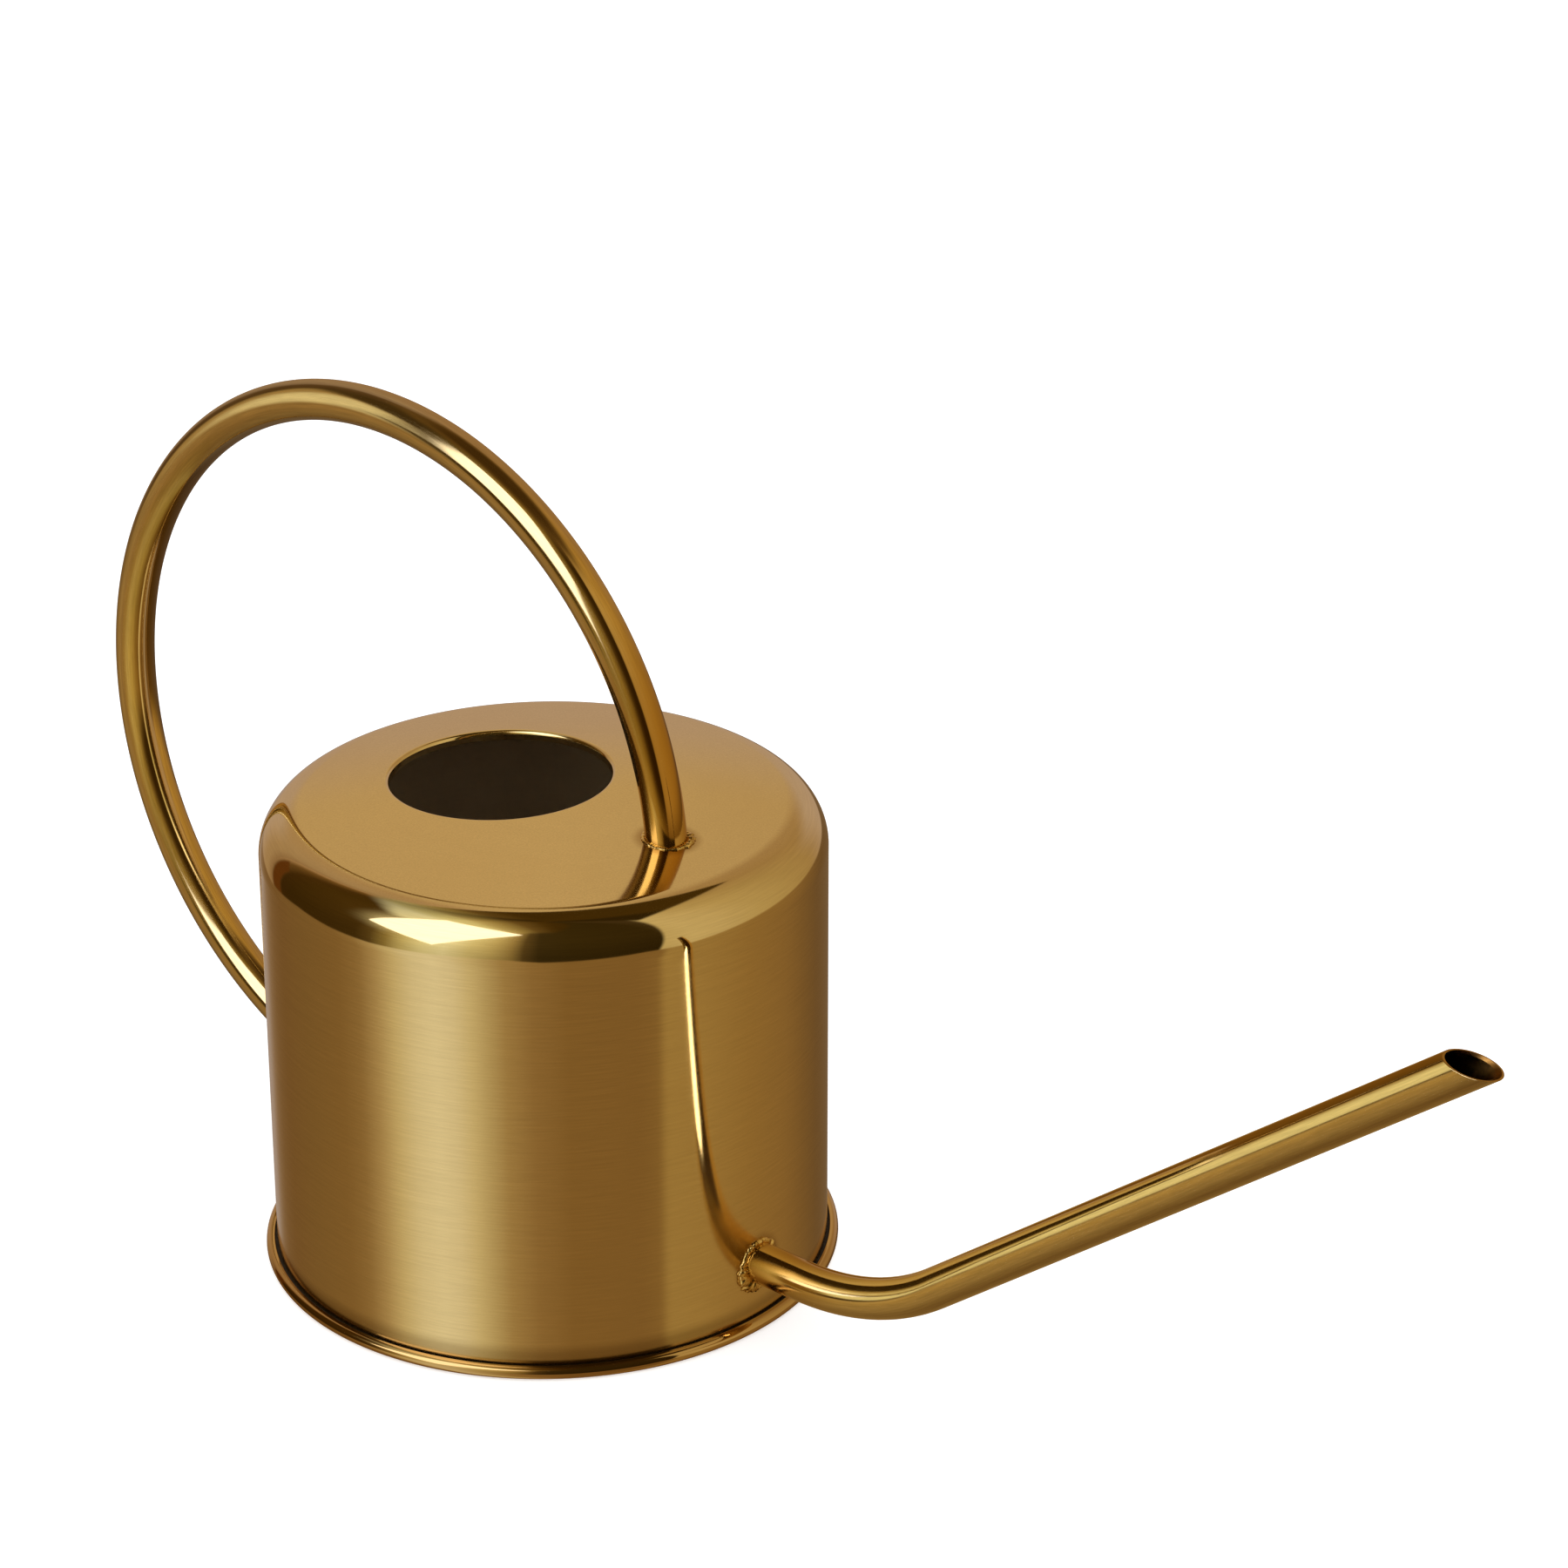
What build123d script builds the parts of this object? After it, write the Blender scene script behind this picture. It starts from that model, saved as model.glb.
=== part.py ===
"""Small indoor watering can.

A drawn cylindrical body with a rounded shoulder, a gently domed deck and a round
filling mouth; a base plate seamed round its foot; a round tube bent into a ring for
the handle; and a long bent tube for the spout, welded on low down.

The origin is the centre of the plane that the foot rests on. +Z is up and +X points
towards the spout. The body is symmetric about the XZ plane. Millimetres.
"""
from build123d import *
import os
from math import asin, cos, degrees, radians, sin, sqrt

# Sheet and tube stock
sheet = 0.6                 # thickness of the shell and of the base plate
tube_r = 4.75               # outside radius of the 9.5 mm tube of handle and spout
tube_wall = 0.8

# Body
body_r = 65.0               # outside of the wall
shoulder_r = 11.0           # outside radius of the rounded shoulder
shoulder_z = 101.7          # top of the straight wall, where the shoulder begins
dome_r = 440.0              # outside radius of the domed deck

# Filling mouth, on the side away from the spout
mouth_offset = 13.5         # its centre's distance from the body's axis
mouth_r = 25.5              # clear radius
lip_r = 1.0                 # outside radius of the lip's bend
lip_drop = 1.2              # straight part of the lip below its bend

# Foot seam
bead_r = 1.5                # outside radius of the base plate's curl
bead_centre_r = 66.1
curl_end_r = 65.6           # where the curl's edge stops, short of the wall
flange_z = 1.2              # underside of the shell's flange
flange_end_r = 66.5
panel_r = 55.0              # raised panel in the middle of the base plate
panel_rise = 1.4
panel_step = 2.0            # width of the sloping step round the panel

# Handle: an arc of a circle in the XZ plane
handle_x = -50.0
handle_z = 106.8
handle_r = 88.1
handle_start = 2.0          # angles about the circle's centre, from +X towards +Z;
handle_end = 263.0          # both ends start inside the body and are trimmed to it

# Spout: straight out of the wall, one bend, then a long straight run
spout_z = 16.5
spout_inside = 1.0          # how far it reaches into the body past the sheet
spout_run = 13.0            # level run, from the wall to the bend
bend_r = 64.0
spout_rise = 37.3           # angle of the long run above level
spout_length = 167.3        # long run, from the bend to the middle of the slanted end
spout_cut = 45.0            # the end's slant from square

# Weld beads
weld_r = 1.5                # radius of the bead's round section
weld_offset = 0.3           # distance of its centre from the tube's surface
weld_sink = 0.1             # the wall curves away from the spout's bead by about this

# Worked out from the values above
dome_z = shoulder_z - sqrt((dome_r - shoulder_r) ** 2 - (body_r - shoulder_r) ** 2)
shoulder_lean = degrees(asin((body_r - shoulder_r) / (dome_r - shoulder_r)))
mouth_lean = asin(mouth_offset / dome_r)
spout_start = body_r - sheet - spout_inside
bend_x = body_r + spout_run
bend_end = Vector(
    bend_x + bend_r * sin(radians(spout_rise)),
    0,
    spout_z + bend_r * (1 - cos(radians(spout_rise))),
)
rise_dir = Vector(cos(radians(spout_rise)), 0, sin(radians(spout_rise)))
spout_tip = bend_end + rise_dir * spout_length


def body_section(inset, floor_z):
    """Filled half section of the body, its skin lying inset from the outer skin."""
    lean = 90 - shoulder_lean
    with BuildSketch(Plane.XZ) as section:
        with BuildLine():
            wall = Line((body_r - inset, floor_z), (body_r - inset, shoulder_z))
            CenterArc((body_r - shoulder_r, shoulder_z), shoulder_r - inset, 0, lean)
            deck = CenterArc((0, dome_z), dome_r - inset, lean, shoulder_lean)
            Polyline(deck @ 1, (0, floor_z), wall @ 0)
        make_face()
    return section.sketch


# The space that the closed body fills, used to trim the tubes and the welds
with BuildPart() as envelope:
    add(body_section(0, 0))
    revolve(axis=Axis.Z)

# The mouth's axis is square to the dome at the mouth's centre, so it passes through
# the dome's centre. The lip's section is drawn in a plane through that axis.
mouth_axis = Axis((0, 0, dome_z), (-sin(mouth_lean), 0, cos(mouth_lean)))
mouth_plane = Plane(
    origin=(0, 0, dome_z),
    x_dir=(cos(mouth_lean), 0, sin(mouth_lean)),
    z_dir=(0, -1, 0),
)
lip_centre = Vector(
    mouth_r + lip_r, sqrt((dome_r - lip_r) ** 2 - (mouth_r + lip_r) ** 2)
)
lip_ray = lip_centre.normalized()
lip_turn = 90 - degrees(asin(lip_ray.X))
lip_end = lip_centre.Y - lip_drop

with BuildPart() as body_shell:
    with BuildSketch(Plane.XZ):
        add(body_section(0, flange_z))
        add(body_section(sheet, flange_z), mode=Mode.SUBTRACT)
        with BuildLine():
            Polyline(
                (body_r - sheet, flange_z),
                (flange_end_r, flange_z),
                (flange_end_r, flange_z + sheet),
                (body_r - sheet, flange_z + sheet),
                close=True,
            )
        make_face()
    revolve(axis=Axis.Z)
    with BuildSketch(mouth_plane):
        with BuildLine():
            Polyline(
                (0, lip_end),
                lip_ray * lip_end,
                lip_ray * (dome_r + bead_r),
                (0, dome_r + bead_r),
                close=True,
            )
        make_face()
    revolve(axis=mouth_axis, mode=Mode.SUBTRACT)
    with BuildSketch(mouth_plane):
        with BuildLine():
            bend_out = CenterArc(lip_centre, lip_r, lip_turn, 180 - lip_turn)
            bend_in = CenterArc(lip_centre, lip_r - sheet, lip_turn, 180 - lip_turn)
            Line(bend_out @ 0, bend_in @ 0)
            Polyline(
                bend_out @ 1, (mouth_r, lip_end), (mouth_r + sheet, lip_end), bend_in @ 1
            )
        make_face()
    revolve(axis=mouth_axis)
    with BuildSketch(Plane.YZ.offset(spout_start)):
        with Locations((0, spout_z)):
            Circle(tube_r)
    extrude(amount=bend_x - spout_start, mode=Mode.SUBTRACT)
body_shell.part.label = "body_shell"

with BuildPart() as base_plate:
    with BuildSketch(Plane.XZ):
        with BuildLine():
            outside = CenterArc((bead_centre_r, bead_r), bead_r, -90, 180)
            inside = CenterArc((bead_centre_r, bead_r), bead_r - sheet, -90, 180)
            Polyline(
                outside @ 1,
                (curl_end_r, 2 * bead_r),
                (curl_end_r, 2 * bead_r - sheet),
                inside @ 1,
            )
            Polyline(
                outside @ 0,
                (panel_r + panel_step, 0),
                (panel_r, panel_rise),
                (0, panel_rise),
                (0, panel_rise + sheet),
                (panel_r, panel_rise + sheet),
                (panel_r + panel_step, sheet),
                inside @ 0,
            )
        make_face()
    revolve(axis=Axis.Z)
base_plate.part.label = "base_plate"

# Sealing compound: fills the curl round the shell's flange
with BuildPart() as seam_sealant:
    with BuildSketch(Plane.XZ):
        with BuildLine():
            fill = CenterArc((bead_centre_r, bead_r), bead_r - sheet, -90, 180)
            Polyline(
                fill @ 1,
                (body_r, 2 * bead_r - sheet),
                (body_r, flange_z + sheet),
                (flange_end_r, flange_z + sheet),
                (flange_end_r, flange_z),
                (body_r - sheet, flange_z),
                (body_r - sheet, sheet),
                fill @ 0,
            )
        make_face()
    revolve(axis=Axis.Z)
seam_sealant.part.label = "seam_sealant"

# The handle's end faces fit the deck and the wall that they are welded to
with BuildLine(Plane.XZ) as handle_path:
    CenterArc((handle_x, handle_z), handle_r, handle_start, handle_end - handle_start)
handle_section = Plane(origin=handle_path.line @ 0, z_dir=handle_path.line % 0)

with BuildPart() as handle_tube:
    with BuildSketch(handle_section):
        Circle(tube_r)
        Circle(tube_r - tube_wall, mode=Mode.SUBTRACT)
    sweep(path=handle_path.line)
    add(envelope.part, mode=Mode.SUBTRACT)
handle_tube.part.label = "handle_tube"

with BuildLine(Plane.XZ) as spout_path:
    Line((spout_start, spout_z), (bend_x, spout_z))
    bend = CenterArc((bend_x, spout_z + bend_r), bend_r, -90, spout_rise)
    PolarLine(bend @ 1, spout_length + 2 * tube_r, spout_rise)
spout_section = Plane(origin=spout_path.line @ 0, z_dir=spout_path.line % 0)

with BuildPart() as spout_tube:
    with BuildSketch(spout_section):
        Circle(tube_r)
        Circle(tube_r - tube_wall, mode=Mode.SUBTRACT)
    sweep(path=spout_path.line)
    split(
        bisect_by=Plane(origin=spout_tip, z_dir=rise_dir.rotate(Axis.Y, -spout_cut)),
        keep=Keep.BOTTOM,
    )
spout_tube.part.label = "spout_tube"

# What the tubes fill with their bores closed, used to trim the welds
with BuildPart() as handle_core:
    with BuildSketch(handle_section):
        Circle(tube_r)
    sweep(path=handle_path.line)

with BuildPart() as spout_core:
    with BuildSketch(spout_section):
        Circle(tube_r)
    sweep(path=spout_path.line)


def weld_bead(foot, out_dir, core):
    """Round bead about a tube that leaves the body at foot along out_dir."""
    side = Plane(origin=foot, x_dir=out_dir.cross(Vector(0, 1, 0)), z_dir=(0, -1, 0))
    with BuildPart() as bead:
        with BuildSketch(side):
            with Locations((tube_r + weld_offset, 0)):
                Circle(weld_r)
        revolve(axis=Axis(foot, out_dir))
        add(core, mode=Mode.SUBTRACT)
        add(envelope.part, mode=Mode.SUBTRACT)
    return bead.part


def handle_point(angle):
    """Point of the handle's centre line at an angle about its circle's centre."""
    turn = radians(angle)
    return Vector(handle_x + handle_r * cos(turn), 0, handle_z + handle_r * sin(turn))


def handle_dir(angle):
    """Direction of the handle's centre line there, towards larger angles."""
    return Vector(-sin(radians(angle)), 0, cos(radians(angle)))


# Angles at which the handle's centre line meets the deck and the wall
deck_height = dome_z + sqrt(dome_r**2 - (handle_x + handle_r) ** 2)
top_angle = degrees(asin((deck_height - handle_z) / handle_r))
rear_angle = 270 - degrees(asin((body_r + handle_x) / handle_r))

handle_top_weld = weld_bead(
    handle_point(top_angle), handle_dir(top_angle), handle_core.part
)
handle_top_weld.label = "handle_top_weld"

handle_rear_weld = weld_bead(
    handle_point(rear_angle), -handle_dir(rear_angle), handle_core.part
)
handle_rear_weld.label = "handle_rear_weld"

spout_weld = weld_bead(
    Vector(body_r - weld_sink, 0, spout_z), Vector(1, 0, 0), spout_core.part
)
spout_weld.label = "spout_weld"

os.makedirs("parts", exist_ok=True)
export_step(body_shell.part, "parts/body_shell.step")
export_step(base_plate.part, "parts/base_plate.step")
export_step(seam_sealant.part, "parts/seam_sealant.step")
export_step(handle_tube.part, "parts/handle_tube.step")
export_step(handle_top_weld, "parts/handle_top_weld.step")
export_step(handle_rear_weld, "parts/handle_rear_weld.step")
export_step(spout_tube.part, "parts/spout_tube.step")
export_step(spout_weld, "parts/spout_weld.step")
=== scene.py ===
"""Looks of the small brass watering can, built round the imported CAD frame.

Shapes are worked out in millimetres, in the row's frame, and turned into metres when a
mesh is made. Materials and studio use metres. The part is all polished or brushed metal,
so what it shows is mostly the studio round it: a softbox high on the near side, a light
wall on the right and behind, two dark openings, and a tan table.
"""

from math import asin, atan2, cos, hypot, pi, radians, sin, sqrt

import bpy
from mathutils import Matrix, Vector, noise


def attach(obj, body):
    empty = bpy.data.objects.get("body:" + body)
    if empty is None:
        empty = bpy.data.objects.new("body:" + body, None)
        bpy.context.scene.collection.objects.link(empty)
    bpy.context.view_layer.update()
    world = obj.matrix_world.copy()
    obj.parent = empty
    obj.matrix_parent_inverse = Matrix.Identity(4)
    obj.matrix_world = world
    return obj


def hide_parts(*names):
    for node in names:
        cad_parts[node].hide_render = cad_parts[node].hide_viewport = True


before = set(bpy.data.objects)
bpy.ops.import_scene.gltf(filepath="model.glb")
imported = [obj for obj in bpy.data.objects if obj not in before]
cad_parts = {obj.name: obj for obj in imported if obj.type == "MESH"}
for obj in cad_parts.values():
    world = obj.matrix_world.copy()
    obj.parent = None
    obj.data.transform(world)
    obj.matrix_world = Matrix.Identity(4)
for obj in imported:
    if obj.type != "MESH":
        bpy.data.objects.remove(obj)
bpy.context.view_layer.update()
MM = 0.001

# Sizes that the CAD part is drawn to, in millimetres: R is a radius, X a distance from
# the body's axis and Z a height
SHEET = 0.6
TUBE_R = 4.75
TUBE_WALL = 0.8

BODY_R = 65.0
FLANGE_R = 66.5
FLANGE_Z = 1.2
SHOULDER_R = 11.0
SHOULDER_X = BODY_R - SHOULDER_R
SHOULDER_Z = 101.7
DOME_R = 440.0
DOME_Z = SHOULDER_Z - sqrt((DOME_R - SHOULDER_R) ** 2 - SHOULDER_X ** 2)
SHOULDER_LEAN = asin(SHOULDER_X / (DOME_R - SHOULDER_R))
MOUTH_R = 25.5
MOUTH_BACK = 13.5
MOUTH_LEAN = asin(MOUTH_BACK / DOME_R)
LIP_R = 1.0
LIP_DROP = 1.2

BEAD_R = 1.5
BEAD_X = 66.1
CURL_R = 65.6
REST_R = 57.0
FLOOR_R = 55.0
FLOOR_Z = 1.4

HANDLE_X = -50.0
HANDLE_Z = 106.8
HANDLE_R = 88.1
HANDLE_FOOT_X = HANDLE_X + HANDLE_R

SPOUT_Z = 16.5
SPOUT_INLET = -1.6
BEND_X = 78.0
BEND_R = 64.0
BEND_START = BEND_X - BODY_R
RISE = radians(37.3)
BEND_LENGTH = BEND_R * RISE
STRAIGHT = 167.3

# Angles about the handle's centre between which its ends meet the deck and the wall
HANDLE_TOP = (radians(2.0), radians(20.0))
HANDLE_REAR = (radians(263.0), radians(245.0))
HANDLE_REAR_FACE = radians(262.0)

# How finely the pieces are cut
ROUND_STEPS = 192
TUBE_STEPS = 56
WELD_STEPS = 360
WELD_SECTION = 16
ANGLES = [2 * pi * i / ROUND_STEPS for i in range(ROUND_STEPS)]
TURNS = [2 * pi * i / TUBE_STEPS for i in range(TUBE_STEPS)]


# ---------------------------------------------------------------- mesh building

class Skin:
    """Rings of points joined by quads, each corner with its exact normal. The grain
    attribute places a material's scratches, and the wrap map says which way is round."""

    def __init__(self):
        self.points = []
        self.faces = []
        self.normals = []
        self.slots = []
        self.grain = []
        self.uvs = []

    def ring(self, points, grain=None):
        """Adds points, and returns their indices."""
        first = len(self.points)
        self.points.extend(points)
        self.grain.extend(grain or points)
        return list(range(first, len(self.points)))

    def band(self, a, b, na, nb, slot=0, along=(0.0, 1.0)):
        """Quads between two closed rings, turned so that they face along the normals."""
        n = len(a)
        low, high = along
        for i in range(n):
            j = (i + 1) % n
            corners = [a[i], a[j], b[j], b[i]]
            normals = [na[i], na[j], nb[j], nb[i]]
            uvs = [(i / n, low), ((i + 1) / n, low), ((i + 1) / n, high), (i / n, high)]
            p = [self.points[c] for c in corners]
            facing = (p[2] - p[0]).cross(p[3] - p[1])
            if facing.dot(normals[0] + normals[1] + normals[2] + normals[3]) < 0:
                corners.reverse()
                normals.reverse()
                uvs.reverse()
            self.faces.append(corners)
            self.normals.extend(normals)
            self.uvs.extend(uvs)
            self.slots.append(slot)

    def cap(self, ring, centre, side):
        """Triangles from a level ring to its centre, facing up (1) or down (-1)."""
        middle = self.ring([centre])[0]
        for a, b in zip(ring, ring[1:] + ring[:1]):
            self.faces.append([a, b, middle][::side])
            self.normals.extend([Vector((0, 0, side))] * 3)
            self.slots.append(0)

    def build(self, name, materials, smooth_only=False):
        """Makes the object; one that is smooth only has the normals of its shape."""
        mesh = bpy.data.meshes.new(name)
        mesh.from_pydata([p * MM for p in self.points], [], self.faces)
        for material in materials:
            mesh.materials.append(material)
        mesh.polygons.foreach_set("use_smooth", [True] * len(self.faces))
        mesh.polygons.foreach_set("material_index", self.slots)
        grain = mesh.attributes.new("grain", "FLOAT_VECTOR", "POINT")
        grain.data.foreach_set("vector", [c for p in self.grain for c in p])
        if len(self.uvs) == len(mesh.loops):
            layer = mesh.uv_layers.new(name="wrap")
            layer.data.foreach_set("uv", [c for uv in self.uvs for c in uv])
        if not smooth_only:
            mesh.normals_split_custom_set(self.normals)
        mesh.update()
        piece = bpy.data.objects.new(name, mesh)
        bpy.context.scene.collection.objects.link(piece)
        return piece


def arc(x, y, r, start, stop, steps):
    """Points of an arc with outward normals; a clockwise one is hollow."""
    side = 1 if stop > start else -1
    out = []
    for k in range(steps + 1):
        a = start + (stop - start) * k / steps
        out.append((x + r * cos(a), y + r * sin(a), side * cos(a), side * sin(a)))
    return out


def line(start, stop, steps=1):
    """Points of a line with the normals on its right."""
    dx, dy = stop[0] - start[0], stop[1] - start[1]
    size = hypot(dx, dy)
    out = []
    for k in range(steps + 1):
        t = k / steps
        out.append((start[0] + dx * t, start[1] + dy * t, dy / size, -dx / size))
    return out


def turned(skin, runs, place, aim, first=None, last=None):
    """Revolves runs of section points; place and aim turn (r, h, angle) into 3-D.
    Runs follow each other, and share the ring between them. The two end rings are made
    here, or are rings that other runs have made."""
    ring = None
    for points, slot in runs:
        for k, (r, h, nr, nh) in enumerate(points):
            normals = [aim(nr, nh, a) for a in ANGLES]
            if ring is None:
                ring = first or skin.ring([place(r, h, a) for a in ANGLES])
                first = ring
            elif k:
                is_end = last and points is runs[-1][0] and k == len(points) - 1
                above = last if is_end else skin.ring([place(r, h, a) for a in ANGLES])
                skin.band(ring, above, before, normals, slot)
                ring = above
            before = normals
    return first, ring


def upright(r, h, angle):
    """Point or direction with r out from the body's axis and h up."""
    return Vector((r * cos(angle), r * sin(angle), h))


# The mouth is square to the dome, so it leans back a little
MOUTH_ACROSS = Vector((cos(MOUTH_LEAN), 0, sin(MOUTH_LEAN)))
MOUTH_SIDE = Vector((0, 1, 0))
MOUTH_UP = Vector((-sin(MOUTH_LEAN), 0, cos(MOUTH_LEAN)))
DOME_CENTRE = Vector((0, 0, DOME_Z))


def mouth_aim(r, h, angle):
    """Direction with r across and h along the mouth's axis."""
    return MOUTH_ACROSS * (r * cos(angle)) + MOUTH_SIDE * (r * sin(angle)) + MOUTH_UP * h


def mouth_place(r, h, angle):
    """Point r from the mouth's axis and h above the dome's centre."""
    return DOME_CENTRE + mouth_aim(r, h, angle)


def body_gap(p):
    """Distance of a point from the outer skin of the closed body."""
    r = hypot(p.x, p.y)
    if p.z <= SHOULDER_Z:
        return r - BODY_R
    if atan2(r, p.z - DOME_Z) > SHOULDER_LEAN:
        return hypot(r - SHOULDER_X, p.z - SHOULDER_Z) - SHOULDER_R
    return hypot(r, p.z - DOME_Z) - DOME_R


def body_normal(p):
    """Way out of the closed body at a point, from how the gap changes round it."""
    step = 0.01
    x, y, z = Vector((step, 0, 0)), Vector((0, step, 0)), Vector((0, 0, step))
    slope = [body_gap(p + d) - body_gap(p - d) for d in (x, y, z)]
    return Vector(slope).normalized()


# ---------------------------------------------------------------- materials

BRASS = (0.92, 0.79, 0.52)
GRAZING_TINT = (0.94, 0.90, 0.88, 1)


class Net:
    """A node tree, with a short way to add nodes and join them."""

    def __init__(self, tree):
        self.tree = tree
        tree.nodes.clear()

    def add(self, kind, *inputs, **settings):
        """Adds a node. Inputs are values or sockets, in order or by their capitalised
        names; other settings are the node's own properties."""
        node = self.tree.nodes.new("ShaderNode" + kind)
        named = {k: v for k, v in settings.items() if k[0].isupper()}
        for key, value in settings.items():
            if key not in named:
                setattr(node, key, value)
        for key, value in list(enumerate(inputs)) + list(named.items()):
            self.feed(node.inputs[key], value)
        return node

    def feed(self, socket, value):
        """Gives a socket another socket's value, or a fixed one."""
        if isinstance(value, bpy.types.NodeSocket):
            self.tree.links.new(value, socket)
        else:
            socket.default_value = value

    def math(self, operation, *inputs):
        return self.add("Math", *inputs, operation=operation).outputs[0]

    def times(self, a, b):
        return self.math("MULTIPLY", a, b)

    def total(self, first, *others):
        for value in others:
            first = self.math("ADD", first, value)
        return first

    def swing(self, value, amount):
        """How far a value lies from its middle, 0.5, times the amount."""
        return self.times(self.math("SUBTRACT", value, 0.5), amount)

    def vector(self, operation, *inputs):
        return self.add("VectorMath", *inputs, operation=operation).outputs[0]

    def stretch(self, vector, *factors):
        return self.vector("MULTIPLY", vector, factors)

    def dot(self, a, b):
        return self.add("VectorMath", a, b, operation="DOT_PRODUCT").outputs["Value"]

    def distance(self, a, b):
        return self.add("VectorMath", a, b, operation="DISTANCE").outputs["Value"]

    def place(self):
        """Where a point is, in metres, as one vector."""
        return self.add("TexCoord").outputs["Object"]

    def noise(self, vector, scale, detail=3.0, rough=0.5):
        node = self.add("TexNoise", Vector=vector, Scale=scale, Detail=detail)
        node.inputs["Roughness"].default_value = rough
        return node.outputs["Fac"]

    def span(self, value, low, high, to_low=0.0, to_high=1.0, kind="SMOOTHSTEP"):
        """Runs from to_low to to_high as the value goes from low to high."""
        node = self.add("MapRange", value, low, high, to_low, to_high)
        node.interpolation_type = kind
        return node.outputs["Result"]

    def mix(self, factor, a, b, blend="MIX"):
        """Colour a where the factor is 0, and b where it is 1."""
        node = self.tree.nodes.new("ShaderNodeMix")
        node.data_type = "RGBA"
        node.blend_type = blend
        for place, value in ((0, factor), (6, a), (7, b)):
            self.feed(node.inputs[place], (*value, 1.0) if isinstance(value, tuple) else value)
        return node.outputs[2]

    def ramp(self, factor, stops):
        """Colour ramp through stops of position and colour, in order of position."""
        node = self.add("ValToRGB", factor)
        elements = node.color_ramp.elements
        for k, (position, colour) in enumerate(stops):
            stop = elements[k] if k < 2 else elements.new(position)
            stop.position = position
            stop.color = (*colour, 1.0)
        return node.outputs[0]


def scaled(colour, factor):
    return tuple(c * factor for c in colour)


def surface(name, metallic=1.0):
    """A new material with its node tree and its shader."""
    material = bpy.data.materials.new(name)
    material.use_nodes = True
    net = Net(material.node_tree)
    shader = net.add("BsdfPrincipled", Metallic=metallic)
    shader.inputs["Specular Tint"].default_value = GRAZING_TINT
    output = net.add("OutputMaterial")
    net.tree.links.new(shader.outputs[0], output.inputs[0])
    return material, net, shader


def join(net, value, shader, name):
    net.tree.links.new(value, shader.inputs[name])


def brushed(net, shader, amount, **direction):
    """Draws reflections out along the direction of a tangent node."""
    shader.inputs["Anisotropic"].default_value = amount
    shader.inputs["Anisotropic Rotation"].default_value = 0.25
    join(net, net.add("Tangent", **direction).outputs[0], shader, "Tangent")


def relief(net, shader, height, strength, depth):
    """Bumps that are too fine for the mesh."""
    bump = net.add("Bump", Strength=strength, Distance=depth, Height=height)
    join(net, bump.outputs[0], shader, "Normal")


def body_brass():
    """Brushed round the wall; the shoulder is polished and the deck is satin."""
    material, net, shader = surface("body_brass")
    brushed(net, shader, 1.0, direction_type="RADIAL", axis="Z")
    where = net.place()
    axes = net.add("SeparateXYZ", where).outputs
    is_wall = net.span(axes["Z"], 0.1035, 0.0975)
    is_deck = net.span(axes["Z"], 0.1105, 0.1125)
    fine = net.noise(net.stretch(where, 90, 90, 3200), 1.0, 4.0, 0.65)
    broad = net.noise(net.stretch(where, 25, 25, 420), 1.0, 3.0)
    patches = net.noise(where, 28.0, 4.0, 0.6)
    satin = net.noise(where, 1500.0, 2.0)
    speckle = net.mix(net.times(is_deck, 0.8), fine, net.noise(where, 2600.0, 2.0))
    tone = net.span(speckle, 0.3, 0.7, kind="LINEAR")
    colour = net.mix(tone, scaled(BRASS, 0.92), scaled(BRASS, 1.05))
    worn = net.times(net.span(patches, 0.45, 0.75), 0.35)
    colour = net.mix(worn, colour, (0.88, 0.735, 0.465))

    # Stained by heat round the handle's foot and the spout's root
    foot = net.distance(net.stretch(where, 1, 1, 0), (HANDLE_FOOT_X * MM, 0, 0))
    squash = 0.05
    wall_x = BODY_R * MM * squash
    root = net.distance(net.stretch(where, squash, 1, 1), (wall_x, 0, SPOUT_Z * MM))
    behind = net.math("SUBTRACT", 1.0, net.span(axes["X"], 0.0, 0.01))
    root = net.total(root, net.times(behind, 0.1))
    near = net.total(net.math("MINIMUM", foot, root), net.swing(patches, 0.003))
    darker_near_welds = net.times(net.span(near, 0.0085, 0.0055), 0.7)
    colour = net.mix(darker_near_welds, colour, (0.43, 0.27, 0.11))

    # Painted shade along the foot seam: the wall's colour darkens over its lowest few millimetres
    seam_shade = net.times(net.span(axes["Z"], 0.0085, 0.0050), 0.55)
    colour = net.mix(seam_shade, colour, (0.34, 0.24, 0.11))
    join(net, colour, shader, "Base Color")

    rough = net.total(0.05, net.times(is_wall, 0.07), net.times(is_deck, -0.01))
    rough = net.total(rough, net.swing(broad, 0.04), net.swing(patches, 0.02))
    join(net, rough, shader, "Roughness")
    lines = net.times(fine, net.total(0.04, is_wall))
    relief(net, shader, net.total(lines, net.times(satin, 0.03)), 0.10, 0.00002)
    return material


def polished_brass(name, along, rough, base):
    """Polished brass whose fine scratches follow the grain attribute."""
    material, net, shader = surface(name)
    grain = net.add("Attribute", attribute_name="grain").outputs["Vector"]
    fine = net.noise(net.stretch(grain, *along), 1.0, 4.0, 0.6)
    patches = net.noise(grain, 0.05, 4.0, 0.6)
    tone = net.span(fine, 0.3, 0.7, kind="LINEAR")
    join(net, net.mix(tone, scaled(base, 0.93), scaled(base, 1.04)), shader, "Base Color")
    worn = net.times(net.span(patches, 0.5, 0.8), 0.05)
    join(net, net.total(net.swing(fine, 0.06), worn, rough), shader, "Roughness")
    relief(net, shader, fine, 0.06, 0.00002)
    return material


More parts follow.
